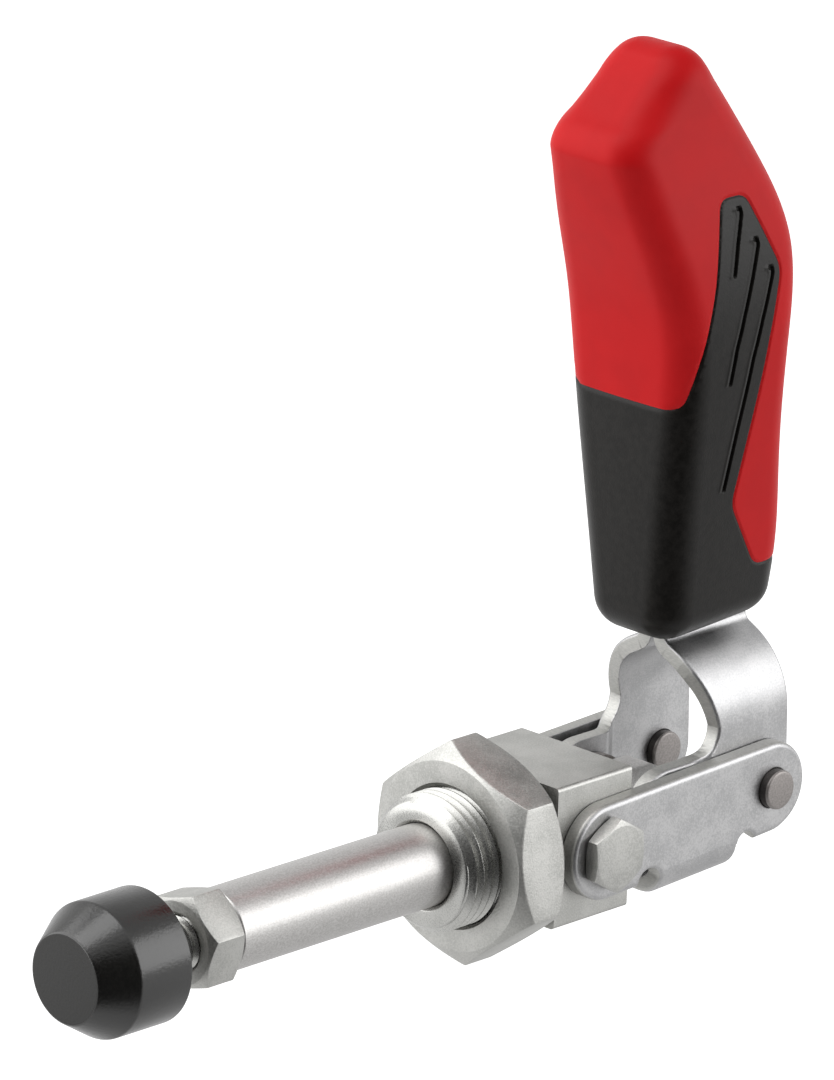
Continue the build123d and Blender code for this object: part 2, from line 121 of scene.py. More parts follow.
class Finish:
    def __init__(self, owner):
        owner.use_nodes = True
        self.tree = owner.node_tree
        self.tree.nodes.clear()

    def node(self, kind, settings=None, inputs=None, output=0):
        made = self.tree.nodes.new(kind)
        for name, value in (settings or {}).items():
            setattr(made, name, value)
        for name, value in (inputs or {}).items():
            if isinstance(value, Wire):
                self.tree.links.new(value.socket, made.inputs[name])
            else:
                made.inputs[name].default_value = value
        return Wire(self, made.outputs[output]) if made.outputs else None

    def between(self, low, high, value):
        """0 below low, 1 above high, and a soft step between them."""
        inputs = {"Value": value, "From Min": low, "From Max": high}
        return self.node("ShaderNodeMapRange", {"interpolation_type": "SMOOTHSTEP"}, inputs)

    def blend(self, dark, light, share, low=0.3, high=0.7):
        """One colour where the share is below low, the other where it is above high."""
        inputs = {"Factor": self.between(low, high, share), 6: (*dark, 1), 7: (*light, 1)}
        return self.node("ShaderNodeMix", {"data_type": "RGBA"}, inputs, output=2)

    def noise(self, place, per_mm, detail):
        """A cloudy pattern between 0 and 1, with about this many patches to the millimetre."""
        inputs = {"Vector": place, "Scale": per_mm / MM, "Detail": detail}
        return self.node("ShaderNodeTexNoise", {}, inputs)

    def place(self):
        """Where a point is on its own piece, so that the pattern moves with the piece."""
        return self.node("ShaderNodeTexCoord", output=3)

    def stretched(self, place, shares):
        """Places multiplied on each axis, so that a pattern gets longer where the share is small."""
        return self.node("ShaderNodeVectorMath", {"operation": "MULTIPLY"}, {0: place, 1: shares})

    def bump(self, height, distance_mm):
        inputs = {"Height": height, "Distance": distance_mm * MM, "Strength": 1.0}
        return self.node("ShaderNodeBump", {}, inputs)

    def surface(self, **inputs):
        named = {name.replace("_", " "): value for name, value in inputs.items()}
        shader = self.node("ShaderNodeBsdfPrincipled", {}, named)
        self.node("ShaderNodeOutputMaterial", {}, {"Surface": shader})


def new_finish(name):
    """A new material, its calculation, and the place on the piece that its patterns start from."""
    material = bpy.data.materials.new(name)
    finish = Finish(material)
    return material, finish, finish.place()


print("materials are written as sums of sockets from here on")

# %% [markdown]
# ## Zinc plate
# The block, the nuts, the yoke, the lever and the bolt heads are mild steel with a zinc coat. Zinc
# reflects like a dull mirror and has a fine grain. So the finish is a metal of middle roughness, with
# two noises: small grain that tips the surface, and wide soft patches that change its shine.

# %% Make the zinc finishes
def make_zinc(name, tone, warmth, shine, grain_depth):
    """Zinc plate: tone is its brightness, warmth how much less blue it has, shine its roughness."""
    material, finish, place = new_finish(name)
    grain = finish.noise(place, 4.0, 3.0)
    patches = finish.noise(place, 0.22, 2.0)
    light = (tone * 1.12, tone * 1.115, tone * 1.12 - warmth)
    dark = (tone * 0.84, tone * 0.84, tone * 0.85 - warmth)
    finish.surface(
        Base_Color=finish.blend(dark, light, patches * 0.4 + grain * 0.6, 0.36, 0.64),
        Metallic=1.0,
        Roughness=shine + (grain - 0.5) * 0.22 + (patches - 0.5) * 0.1,
        Normal=finish.bump(grain, grain_depth),
    )
    return material


zinc_sheet = make_zinc("zinc on sheet", tone=0.47, warmth=0.0, shine=0.42, grain_depth=0.014)
zinc_turned = make_zinc("zinc on turned steel", tone=0.47, warmth=0.022, shine=0.46, grain_depth=0.03)
zinc_thread = make_zinc("zinc on thread", tone=0.45, warmth=0.02, shine=0.28, grain_depth=0.012)
print("zinc finishes:", zinc_sheet.name, zinc_turned.name, zinc_thread.name)

# %% [markdown]
# ## Sheared edges
# A stamping is cut out of sheet by a punch. The cut edge is not as smooth as the sheet: it is darker,
# with fine lines across the thickness where the steel tore. The same zinc lies on it, so this finish is
# the sheet's, rougher and darker, with a noise stretched across the sheet.

# %% Make the sheared edge's finish
def make_sheared():
    material, finish, place = new_finish("sheared edge")
    tears = finish.noise(finish.stretched(place, (1.0, 0.22, 1.0)), 6.5, 2.0)
    finish.surface(
        Base_Color=finish.blend((0.40, 0.40, 0.385), (0.50, 0.495, 0.475), tears, 0.3, 0.72),
        Metallic=1.0,
        Roughness=0.44 + tears * 0.15,
        Normal=finish.bump(tears, 0.012),
    )
    return material


sheared = make_sheared()
print("finish:", sheared.name)

# %% [markdown]
# ## The plunger's ground steel, and plain steel
# The plunger is ground round, so it shines more than the plated pieces, and its highlights are long and
# soft-edged. The rivets and pins are left plain: their ends are a little brown and rough. A much darker
# copy of the plain steel is painted shade for the gap round each rivet's side.

# %% Make the plunger's and the pins' finishes
def make_ground():
    material, finish, place = new_finish("ground steel")
    grain = finish.noise(finish.stretched(place, (0.7, 1.0, 1.0)), 4.5, 3.0)
    patches = finish.noise(place, 0.3, 2.0)
    finish.surface(
        Base_Color=finish.blend((0.44, 0.43, 0.42), (0.58, 0.57, 0.56), grain),
        Metallic=1.0,
        Roughness=0.40 + (grain - 0.5) * 0.2 + (patches - 0.5) * 0.05,
        Normal=finish.bump(grain, 0.012),
    )
    return material


def make_plain(name, tone):
    """Steel without zinc: tone is its brightness."""
    material, finish, place = new_finish(name)
    grain = finish.noise(place, 3.5, 4.0)
    dark = (tone * 0.86, tone * 0.80, tone * 0.77)
    light = (tone * 1.14, tone * 1.06, tone * 1.02)
    finish.surface(
        Base_Color=finish.blend(dark, light, grain),
        Metallic=0.85,
        Roughness=0.40 + grain * 0.15,
        Normal=finish.bump(grain, 0.01),
    )
    return material


ground_steel = make_ground()
plain_steel = make_plain("plain steel", 0.31)
# The very dark steel is painted shade for the rivets' sides, where the gap round them lies in shade.
rivet_side_painted_shade = make_plain("steel painted with shade", 0.10)
print("finishes:", ground_steel.name, plain_steel.name, rivet_side_painted_shade.name)

# %% [markdown]
# ## Rubber and the grip's two plastics
# The cap is black rubber, glossy from its mould and worn dull where it presses. The grip has a hard black
# plastic with a fine mottled skin from its mould, and over it a soft red one, which scatters light and has
# only a faint wide sheen. None of them is a metal, so their colour comes from below the surface.

# %% Make the rubber and plastic finishes
def make_moulded(name, dark, light, clouds, skin, skin_share, depth, shine, change, mirror):
    """Clouds and skin are patches to the millimetre, change is what the clouds do to the roughness."""
    material, finish, place = new_finish(name)
    cloud = finish.noise(place, clouds, 3.0)
    grain = finish.noise(place, skin, 2.0)
    finish.surface(
        Base_Color=finish.blend(dark, light, cloud),
        Roughness=shine + (cloud - 0.5) * change,
        Specular_IOR_Level=mirror,
        Normal=finish.bump(grain * skin_share + cloud * (1 - skin_share), depth),
    )
    return material


black_rubber, worn_rubber = (
    make_moulded(
        name, (0.004, 0.0037, 0.003), (0.008, 0.0075, 0.0065),
        clouds=2.4, skin=2.4, skin_share=0.0, depth=0.03, shine=shine, change=0.15, mirror=mirror,
    )
    for name, shine, mirror in (("black rubber", 0.23, 0.75), ("worn black rubber", 0.6, 0.62))
)
hard_plastic = make_moulded(
    "hard black plastic", (0.0065, 0.0055, 0.0045), (0.012, 0.0105, 0.009),
    clouds=0.9, skin=3.4, skin_share=0.6, depth=0.035, shine=0.36, change=0.2, mirror=0.24,
)
soft_plastic = make_moulded(
    "soft red plastic", (0.70, 0.006, 0.009), (0.76, 0.009, 0.012),
    clouds=0.12, skin=3.6, skin_share=1.0, depth=0.012, shine=0.48, change=0.1, mirror=0.2,
)
print("finishes:", black_rubber.name, worn_rubber.name, hard_plastic.name, soft_plastic.name)

# %% [markdown]
# ## Putting a piece into the scene
# Each piece made below is a mesh in millimetres, turned into an object in metres. It rides on the body
# that carries it on the real clamp, stands for one solid, and each of its faces takes its finish from one
# of its slots.

# %% Turn a mesh into a piece of the clamp
def add_piece(name, shape, materials, body, stands_for, sharp):
    """A piece from (points in millimetres, faces). A face is its corner numbers, or (them, material)."""
    points, faces = shape
    faces = [face if isinstance(face[0], tuple) else (face, 0) for face in faces]
    mesh = bpy.data.meshes.new(name)
    mesh.from_pydata([tuple(float(c) * MM for c in p) for p in points], [], [f[0] for f in faces])
    for material in materials:
        mesh.materials.append(material)
    for face, polygon in zip(faces, mesh.polygons):
        polygon.material_index = face[1]
    work = bmesh.new()
    work.from_mesh(mesh)
    bmesh.ops.remove_doubles(work, verts=work.verts, dist=0.0005 * MM)
    bmesh.ops.recalc_face_normals(work, faces=work.faces)
    work.to_mesh(mesh)
    work.free()
    mesh.shade_smooth()
    mesh.set_sharp_from_angle(angle=math.radians(sharp))
    piece = bpy.data.objects.new(name, mesh)
    bpy.context.scene.collection.objects.link(piece)
    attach(piece, body)
    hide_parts(stands_for)
    print(name, "has", len(mesh.polygons), "faces and rides on", body)
    return piece


# %% [markdown]
# ## Turned shapes
# The plunger, the cap, the rivets and the ends of the threads come off a lathe. A lathe shape is a
# profile of (station, radius) points carried round an axis, and a small round between two straight
# lines of the profile gives the thin highlight of a broken edge.

# %% Turn profiles
def softened(profile, radius, steps=3):
    """The profile with every inner corner rounded by about this radius."""
    points = [np.array(profile[0], float)]
    for before, corner, after in zip(profile, profile[1:], profile[2:]):
        corner = np.array(corner, float)
        back, ahead = before - corner, after - corner
        back_length, ahead_length = math.hypot(*back), math.hypot(*ahead)
        reach = min(radius, 0.45 * back_length, 0.45 * ahead_length)
        start = corner + back / back_length * reach
        end = corner + ahead / ahead_length * reach
        for k in range(steps + 1):
            t = k / steps
            points.append((1 - t) ** 2 * start + 2 * t * (1 - t) * corner + t ** 2 * end)
    points.append(np.array(profile[-1], float))
    return points


def band(low, high, count):
    """Faces between two rings of so many points, which start at the numbers low and high."""
    steps = [(k, (k + 1) % count) for k in range(count)]
    return [(low + k, low + step, high + step, high + k) for k, step in steps]


def turned(profile, segments=96):
    """Points and faces of a profile turned about X."""
    points = []
    faces = []
    for station, radius in profile:
        for k in range(segments):
            angle = 2 * math.pi * k / segments
            points.append((station, radius * math.cos(angle), radius * math.sin(angle)))
    for row in range(len(profile) - 1):
        faces += band(row * segments, (row + 1) * segments, segments)
    return points, faces


def joined(*shapes):
    """Several (points, faces) shapes as one."""
    points = []
    faces = []
    for more_points, more_faces in shapes:
        shift = len(points)
        points += list(more_points)
        faces += [tuple(shift + k for k in face) for face in more_faces]
    return points, faces


print("a turned shape of 4 points has", len(turned([(0, 0), (0, 1), (1, 1), (1, 0)])[1]), "faces")

# %% [markdown]
# ## Threads
# A thread is one ridge wound round a rod. If each row of points rises by one pitch in a full turn, and
# the last column of a row joins the first column of the row one pitch on, the ridge runs along the
# rows without a seam. Points past either end are pulled back to it, which cuts the ridge off flat, and
# a lead cone at the front makes the first turn fade out as on the real one.

# %% Wind a thread
THREAD_SHAPE = [(0.0, 1.0), (0.10, 1.0), (0.30, 0.5), (0.50, 0.0), (0.62, 0.0), (0.81, 0.5)]


def thread(start, end, pitch, crest, root, lead, columns=96):
    """Points and faces of a threaded rod's skin along X."""
    per_turn = len(THREAD_SHAPE)
    turns = math.ceil((end - start) / pitch) + 1
    rows = turns * per_turn + 1
    points = []
    faces = []
    for row in range(rows):
        share, height = THREAD_SHAPE[row % per_turn]
        for k in range(columns):
            x = start + (row // per_turn + share + k / columns - 1) * pitch
            x = min(max(x, start), end)
            radius = root + (crest - root) * height
            if lead:
                radius = min(radius, crest - lead + (end - x))
            angle = 2 * math.pi * k / columns
            points.append((x, radius * math.cos(angle), radius * math.sin(angle)))
    for row in range(rows - 1):
        for k in range(columns):
            if k < columns - 1:
                low, high = row * columns + k + 1, (row + 1) * columns + k + 1
            elif row + 1 + per_turn < rows:
                low, high = (row + per_turn) * columns, (row + 1 + per_turn) * columns
            else:
                continue
            faces.append((row * columns + k, low, high, (row + 1) * columns + k))
    return points, faces


print("one pitch is drawn with", len(THREAD_SHAPE), "rows of points")

# %% [markdown]
# ## Guide body
# The block and its neck are one piece of steel, turned and milled, with the plunger's bore through it.
# The block's shape in the solids is right, so it is a copy of them cut off where the neck begins. The
# neck is wound as a thread, with a turned face, mouth and bore closing its front end.

# %% Make the guide body
NECK_REAR = -0.2
NECK_FRONT = 16.0
NECK_CREST = 9.97
NECK_ROOT = 9.1
NECK_PITCH = 1.5
NECK_LEAD = 1.1
BORE = 6.05
MOUTH = 0.5


def copy_solid(node, end):
    """Points and faces of a solid in millimetres, cut off in front of a plane across X."""
    work = bmesh.new()
    work.from_mesh(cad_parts[node].data)
    bmesh.ops.remove_doubles(work, verts=work.verts, dist=0.001 * MM)
    geometry = work.verts[:] + work.edges[:] + work.faces[:]
    bmesh.ops.bisect_plane(
        work, geom=geometry, plane_co=(end * MM, 0, 0), plane_no=(1, 0, 0), clear_outer=True
    )
    bmesh.ops.dissolve_limit(work, angle_limit=0.001, verts=work.verts, edges=work.edges)
    work.verts.index_update()
    points = [v.co / MM for v in work.verts]
    faces = [tuple(v.index for v in f.verts) for f in work.faces]
    work.free()
    return points, faces


block = copy_solid("guide_body", end=0.0)
add_piece("guide_block", block, [zinc_turned], "base", "guide_body", 30)
neck_end = turned(softened([
    (NECK_FRONT, NECK_CREST - NECK_LEAD),
    (NECK_FRONT, BORE + MOUTH),
    (NECK_FRONT - MOUTH, BORE),
    (NECK_REAR, BORE),
], 0.12))
neck = joined(thread(NECK_REAR, NECK_FRONT, NECK_PITCH, NECK_CREST, NECK_ROOT, NECK_LEAD), neck_end)
add_piece("threaded_neck", neck, [zinc_thread], "base", "guide_body", 50)

# %% [markdown]
# ## Hexagon nuts and bolt heads
# A nut is a hexagon bar with both ends turned to a cone, which leaves curved lines where cone and flats
# meet. Here each column of points runs down the nut at its own angle: it follows the cone until it
# meets the flat, and then the flat. More columns near the corners let these be a little rounded.

# %% Make a hexagon with turned ends
CORNER_STEPS = [-30.0, -29.55, -28.9, -27.5, -24.0, -19.0, -13.0, -6.5, 0.0]
CORNER_STEPS += [6.5, 13.0, 19.0, 24.0, 27.5, 28.9, 29.55]


def hexagon_bar(across, corner, ends, face_r, depth, hole_r, lead_r, soft=0.2):
    """Points and faces of a hexagon bar along X between two ends, with cones and a hole."""
    half = across / 2
    rear, front = ends
    tip = half / math.cos(math.radians(30))
    slope = depth / (tip - face_r)
    profiles = []
    for facet, step in [(facet, step) for facet in range(6) for step in CORNER_STEPS]:
        reach = half / math.cos(math.radians(step))
        if abs(step) > 28.5:
            reach -= half * (0.0035 if abs(step) > 29.9 else 0.0020 if abs(step) > 29 else 0.0006)
        angle = math.radians(corner + 30 + 60 * facet + step)
        drop = max(reach - face_r, 0) * slope
        inner = max(min(face_r, reach) - soft, hole_r)
        below = reach - soft / 2
        cone = max(below - face_r, 0) * slope
        half_profile = [
            (hole_r, min(lead_r - hole_r, 2.0)),
            (lead_r, 0.0),
            (inner, 0.0),
            (min(face_r, reach) - 0.02, 0.02),
            (max(below, min(face_r, reach) - 0.01), max(cone, 0.03)),
            (reach - 0.03, drop + soft * 0.35),
            (reach, drop + soft),
        ]
        column = [(rear + x, r) for r, x in half_profile]
        column += [(front - x, r) for r, x in reversed(half_profile)]
        profiles.append([(x, r * math.cos(angle), r * math.sin(angle)) for x, r in column])
    rows = len(profiles[0])
    points = [profile[row] for row in range(rows) for profile in profiles]
    count = len(profiles)
    faces = []
    for row in range(rows):
        faces += band(row * count, (row + 1) % rows * count, count)
    return points, faces


print("a hexagon bar has", len(CORNER_STEPS), "columns of points to each flat")

# %% [markdown]
# ## Mounting nut and jam nut
# The large nut clamps a plate against the guide body. The small one locks the clamping screw against the
# plunger's end. Their sizes are the solids', and so are the angles at which their corners stopped.

# %% Make both nuts
large_nut = hexagon_bar(
    across=28.5, corner=37.2, ends=(1.35, 10.42), face_r=13.8, depth=2.07, hole_r=10.05, lead_r=10.6
)
add_piece("large_hexagon_nut", large_nut, [zinc_turned], "nut", "mounting_nut", 28)
small_nut = hexagon_bar(
    across=12.8, corner=14.4, ends=(56.6, 63.1), face_r=6.05, depth=0.77, hole_r=4.05, lead_r=4.5, soft=0.12
)
add_piece("small_hexagon_nut", small_nut, [zinc_turned], "locknut", "jam_nut", 28)

# %% [markdown]
# ## Plunger
# The rod is ground steel with a small cone turned on its front end and a tapped hole. Its rear end is
# milled flat on both sides and has an eye for the pin. The front is turned here, and the milled eye is
# a copy of the solid from the same rod.

# %% Make the plunger
EYE_END = -17.0
rod = turned(softened([
    (EYE_END, 6.0),
    (56.0, 6.0),
    (56.6, 5.4),
    (56.6, 4.4),
    (56.1, 4.05),
    (40.0, 4.05),
], 0.15), 128)
add_piece("plunger_rod", rod, [ground_steel], "ram", "plunger", 40)
eye = copy_solid("plunger", end=EYE_END)
add_piece("plunger_eye", eye, [ground_steel], "ram", "plunger", 30)

# %% [markdown]
# ## Clamping screw
# Only a short piece of its thread shows between the jam nut and the cap, but it can be screwed out by
# fifteen millimetres, so the thread is wound along its whole length. Its head is inside the cap.

# %% Make the clamping screw
SCREW_REAR = 29.0
SCREW_ROOT = 3.3
screw_head = hexagon_bar(
    across=12.9, corner=0.0, ends=(71.0, 76.2), face_r=6.2, depth=0.6, hole_r=0.3, lead_r=0.3, soft=0.1
)
screw = joined(
    thread(SCREW_REAR, 71.2, pitch=1.25, crest=3.98, root=SCREW_ROOT, lead=0.0, columns=64),
    turned([(SCREW_REAR, 0.0), (SCREW_REAR, SCREW_ROOT)], 64),
    screw_head,
)
add_piece("front_screw", screw, [zinc_thread], "tip", "clamping_screw", 50)

# %% [markdown]
# ## Rubber cap
# The cap is moulded over the screw's head: a short cylinder that narrows to the pressing face. Its rims
# are only slightly rounded. Its pressing face is worn dull, and the rest still has the mould's gloss.

# %% Make the cap
CAP_FRONT = 84.2
cap_points, cap_faces = turned(softened([
    (71.0, 4.1),
    (69.6, 4.1),
    (69.6, 9.70),
    (79.0, 9.67),
    (CAP_FRONT, 6.46),
    (CAP_FRONT, 0.0),
], 0.3, 4), 128)
cap_faces = [(f, 1 if min(cap_points[k][0] for k in f) > CAP_FRONT - 0.05 else 0) for f in cap_faces]
add_piece(
    "pressing_cap", (cap_points, cap_faces), [black_rubber, worn_rubber],
    "tip", "rubber_cap", 60,
)

# %% [markdown]
# ## Sheet metal
# The yoke and the lever plates are punched from sheet and then bent. The punch draws the sheet's outer
# edge down into a bright round, tears through the rest and leaves a dark grainy band. To make one, a flat
# outline gets its thickness and that edge profile, and then every point is moved along the bends.

# %% Punch and bend a sheet
SHEET = 2.5


def arc(centre, radius, start, end, steps):
    """Points of an arc in degrees, both ends included."""
    angles = [math.radians(start + (end - start) * k / steps) for k in range(steps + 1)]
    return [(centre[0] + radius * math.cos(a), centre[1] + radius * math.sin(a)) for a in angles]


def hole(centre, radius):
    return arc(centre, radius, 0, 352.5, 47)


def is_counterclockwise(loop):
    pairs = zip(loop, loop[1:] + loop[:1])
    return sum(a[0] * b[1] - b[0] * a[1] for a, b in pairs) > 0


def moved_in(loop, distance):
    """A counterclockwise loop's points moved to its inside by a distance."""
    out = []
    for before, point, after in zip(loop[-1:] + loop[:-1], loop, loop[1:] + loop[:1]):
        first = Vector((point[0] - before[0], point[1] - before[1])).normalized()
        second = Vector((after[0] - point[0], after[1] - point[1])).normalized()
        way = (first + second).normalized()
        inward = Vector((-way.y, way.x))
        lean = max(inward.dot(Vector((-first.y, first.x))), 0.35)
        out.append((point[0] + inward.x * distance / lean, point[1] + inward.y * distance / lean))
    return out


def edge_profile(roll, steps=5):
    """(distance from the cut, depth through the sheet) from the inner face to the outer face."""
    profile = [(0.10, 0.0), (0.0, 0.12), (0.0, SHEET - roll)]
    for k in range(1, steps + 1):
        angle = math.radians(90 * k / steps)
        profile.append((roll * (1 - math.cos(angle)), SHEET - roll + roll * math.sin(angle)))
    return profile


def punched(outline, holes, roll, cuts_u, cuts_v, bend):
    """Points and faces of a stamping. bend(u, v, depth) says where a point of the flat sheet goes."""
    loops = []
    for number, loop in enumerate([outline] + holes):
        clean = [p for p, q in zip(loop, loop[1:] + loop[:1]) if math.dist(p, q) > 0.01]
        if is_counterclockwise(clean) != (number == 0):
            clean.reverse()
        loops.append(clean)
    points = []
    faces = []
    caps = {0.0: [], SHEET: []}
    for number, loop in enumerate(loops):
        profile = edge_profile(roll if number == 0 else 0.25)
        rings = [[(*p, depth) for p in moved_in(loop, inset)] for inset, depth in profile]
        count = len(loop)
        shift = len(points)
        for one in rings:
            points += one
        for row in range(len(rings) - 1):
            torn = 1 if profile[row + 1][1] <= SHEET - 0.25 and row > 0 else 0
            low = shift + row * count
            faces += [(face, torn) for face in band(low, low + count, count)]
        caps[0.0].append([shift + k for k in range(count)])
        caps[SHEET].append([shift + (len(rings) - 1) * count + k for k in range(count)])
    for numbers in caps.values():
        polylines = [[Vector((points[k][0], points[k][1], 0)) for k in loop] for loop in numbers]
        flat = [k for loop in numbers for k in loop]
        for triangle in mathutils_geometry.tessellate_polygon(polylines):
            faces.append((tuple(flat[k] for k in triangle), 0))
    mesh = bpy.data.meshes.new("flat sheet")
    mesh.from_pydata(points, [], [f[0] for f in faces])
    for face, polygon in zip(faces, mesh.polygons):
        polygon.material_index = face[1]
    work = bmesh.new()
    work.from_mesh(mesh)
    for axis, cuts in ((0, cuts_u), (1, cuts_v)):
        for cut in cuts:
            way = Vector((1 - axis, axis, 0))
            geometry = work.verts[:] + work.edges[:] + work.faces[:]
            bmesh.ops.bisect_plane(work, geom=geometry, plane_co=way * cut, plane_no=way)
    work.verts.index_update()
    points = [bend(*v.co) for v in work.verts]
    faces = [(tuple(v.index for v in f.verts), f.material_index) for f in work.faces]
    work.free()
    bpy.data.meshes.remove(mesh)
    return points, faces


def even_normals(piece):
    """Lets the large flat faces decide the shading, so that a thin round beside them stays thin."""
    weighted = piece.modifiers.new("even normals", "WEIGHTED_NORMAL")
    weighted.keep_sharp = True
    weighted.weight = 80


print("the edge profile has", len(edge_profile(0.5)), "points")

# %% [markdown]
# ## Link yoke
# The yoke is one stamping folded to a U: two side links, and a web under them. Flat, it is a long strip
# with a link at each end. It turns on the guide body at one end of the links and carries the lever at the
# other, and in the picture it is tilted by almost three degrees.

# %% Make the yoke
LINK = 34.34
TILT = math.radians(2.75)
PIVOT_A = (-7.9, 0.0)
PIVOT_B = (PIVOT_A[0] - LINK * math.cos(TILT), LINK * math.sin(TILT))
INNER_Y = 11.1
BEND_Z = -6.0
BEND_IN = 2.0
BEND_MID = BEND_IN + SHEET / 2
BEND_RUN = BEND_MID * math.pi / 2
WEB_HALF = INNER_Y - BEND_IN
FOLD_MIDDLE = BEND_Z - BEND_RUN - WEB_HALF
LINK_FRONT = -11.0
LINK_REAR = -27.1
BOLT_HOLE = 4.05
RIVET_HOLE = 2.92
EDGE_ROLL = 0.75

front_notch = arc((-8.74, -7.63), 2.4, 14.8, 160.3, 14)
rear_notch = arc((-28.9, -7.2), 1.8, 16.0, 163.5, 12)
link_outline = (
    [(LINK_REAR, FOLD_MIDDLE), (LINK_REAR, -6.7)]
    + rear_notch
    + arc((-LINK, 0.0), 6.65, -90, -270, 30)
    + arc((0.0, 0.0), 7.0, 90, -90, 30)
    + front_notch
    + [(LINK_FRONT, FOLD_MIDDLE)]
)
mirrored = [(u, 2 * FOLD_MIDDLE - v) for u, v in reversed(link_outline[1:-1])]
strip_outline = link_outline + mirrored
strip_holes = []
for v in (0.0, 2 * FOLD_MIDDLE):
    strip_holes.append(hole((0.0, v), BOLT_HOLE))
    strip_holes.append(hole((-LINK, v), RIVET_HOLE))


def fold_yoke(u, v, depth):
    side = 1
    if v < FOLD_MIDDLE:
        side = -1
        v = 2 * FOLD_MIDDLE - v
    if v >= BEND_Z:
        y, z = INNER_Y + depth, v
    elif v > BEND_Z - BEND_RUN:
        turn = (BEND_Z - v) / BEND_MID
        y = WEB_HALF + (BEND_IN + depth) * math.cos(turn)
        z = BEND_Z - (BEND_IN + depth) * math.sin(turn)
    else:
        y, z = v - FOLD_MIDDLE, BEND_Z - BEND_IN - depth
    x = PIVOT_A[0] + u * math.cos(TILT) + z * math.sin(TILT)
    return (x, side * y, PIVOT_A[1] - u * math.sin(TILT) + z * math.cos(TILT))


fold_lines = [BEND_Z - BEND_RUN * k / 8 for k in range(9)]
fold_lines += [2 * FOLD_MIDDLE - v for v in fold_lines] + [FOLD_MIDDLE]
yoke = punched(strip_outline, strip_holes, EDGE_ROLL, [], fold_lines, fold_yoke)
even_normals(
    add_piece("folded_side_links", yoke, [zinc_sheet, sheared], "yoke", "link_yoke", 50)
)

# %% [markdown]
# ## Lever plates
# The lever is two mirrored stampings. Each has an ear on the rivet, a lobe set inwards that holds the
# plunger's pin, an inward curve, and a tang that goes up inside the grip beside the other one. The bend
# is a line seen along the plunger: up the ear, round the first bend, along the slope, and back into the
# upright tang.

# %% Make the lever plates
EAR_MID = 9.65
CURVE_Z = 12.0
CURVE_MID = 10.75
CURVE_TURN = math.radians(62)
TANG_BEND = 2.75
TANG_MID = 1.3
TANG_TOP = 62.0
SET_TOP = 11.8
curve_centre_y = EAR_MID - CURVE_MID
back_centre_y = TANG_MID + TANG_BEND
both_bends = CURVE_MID + TANG_BEND
slope_run = (curve_centre_y + both_bends * math.cos(CURVE_TURN) - back_centre_y) / math.sin(CURVE_TURN)
back_centre_z = CURVE_Z + both_bends * math.sin(CURVE_TURN) + slope_run * math.cos(CURVE_TURN)
curve_run = CURVE_MID * CURVE_TURN
back_run = TANG_BEND * CURVE_TURN


def lever_line(run):
    """(y, z) on the middle of the sheet and the turn of its face, at a length along the bend."""
    if run <= 0:
        return EAR_MID, CURVE_Z + run, 0.0
    turn = min(run / CURVE_MID, CURVE_TURN)
    y = curve_centre_y + CURVE_MID * math.cos(turn)
    z = CURVE_Z + CURVE_MID * math.sin(turn)
    if run <= curve_run:
        return y, z, turn
    past = run - curve_run
    if past <= slope_run:
        return y - past * math.sin(turn), z + past * math.cos(turn), turn
    past -= slope_run
    if past <= back_run:
        turn = CURVE_TURN - past / TANG_BEND
        return back_centre_y - TANG_BEND * math.cos(turn), back_centre_z - TANG_BEND * math.sin(turn), turn
    return TANG_MID, back_centre_z + past - back_run, 0.0


run_samples = np.linspace(-30, 70, 2001)
height_samples = np.array([lever_line(run)[1] for run in run_samples])


def along(height):
    """The length along the bend at which the sheet is at a height."""
    return float(np.interp(height, height_samples, run_samples))


LOBE = (-24.3, 0.5)
LOBE_R = 6.9
THROAT_R = 4.5
THROAT_X = -28.7
SET_REAR = -32.2
SET_RUN = 3.0
SET_IN = 1.2
upper_edge = [(-31.0, 18.3), (-30.67, 19.2), (-30.36, 20.5), (-30.15, 22.2), (-30.0, 24.5)]
upper_edge += [(-30.0, TANG_TOP), (-42.5, TANG_TOP), (-42.5, 27.5), (-47.3, 24.2)]
lever_side = (
    arc(PIVOT_B, 6.0, 180, 270, 16)
    + arc(LOBE, LOBE_R, -90, 90, 32)
    + arc((THROAT_X, LOBE[1] + LOBE_R + THROAT_R), THROAT_R, -90, -180, 18)
    + upper_edge
)
lever_flat = [(x, along(z)) for x, z in lever_side]
lever_holes = [
    [(x, along(z)) for x, z in hole(centre, radius)]
    for centre, radius in ((PIVOT_B, 2.95), ((-26.0, 0.0), 3.05))
]


def bend_lever(side):
    def bend(u, v, depth):
        y, z, turn = lever_line(v)
        offset = depth - SHEET / 2
        share = min(max((u - SET_REAR) / SET_RUN, 0.0), 1.0) if z < SET_TOP else 0.0
        y -= SET_IN * share * share * (3 - 2 * share)
        return (u, side * (y + offset * math.cos(turn)), z + offset * math.sin(turn))

    return bend


bend_lines = [along(SET_TOP)] + [curve_run * k / 14 for k in range(15)]
bend_lines += [curve_run + slope_run + back_run * k / 8 for k in range(9)]
set_lines = [SET_REAR + SET_RUN * k / 6 for k in range(7)]
for side, end in ((1, "near"), (-1, "far")):
    plate = punched(lever_flat, lever_holes, 0.55, set_lines, bend_lines, bend_lever(side))
    even_normals(add_piece(
        "bent_lever_" + end, plate, [zinc_sheet, sheared], "lever", "lever_plate_" + end, 50
    ))

# %% [markdown]
# ## Bolts, rivets and the hidden pin
# Two hexagon bolts hold the yoke to the guide body, each through a hardened bush. Two short rivets join
# yoke and lever, one on each side, because the plunger passes between them. A rivet's side is very dark
# steel, which is painted shade of the narrow gap round it, and its ends are plain steel. Behind them the
# plunger's pin goes through its eye, with a spacer on each side. The bushes, the pin and its spacers are
# carried over from the solids with their own finish.

# %% Make the bolts and rivets
def across_y(shape, side, centre):
    """A shape along X laid along Y on one side, about a centre in (x, z)."""
    points, faces = shape
    return [(centre[0] + y, side * x, centre[1] + z) for x, y, z in points], faces


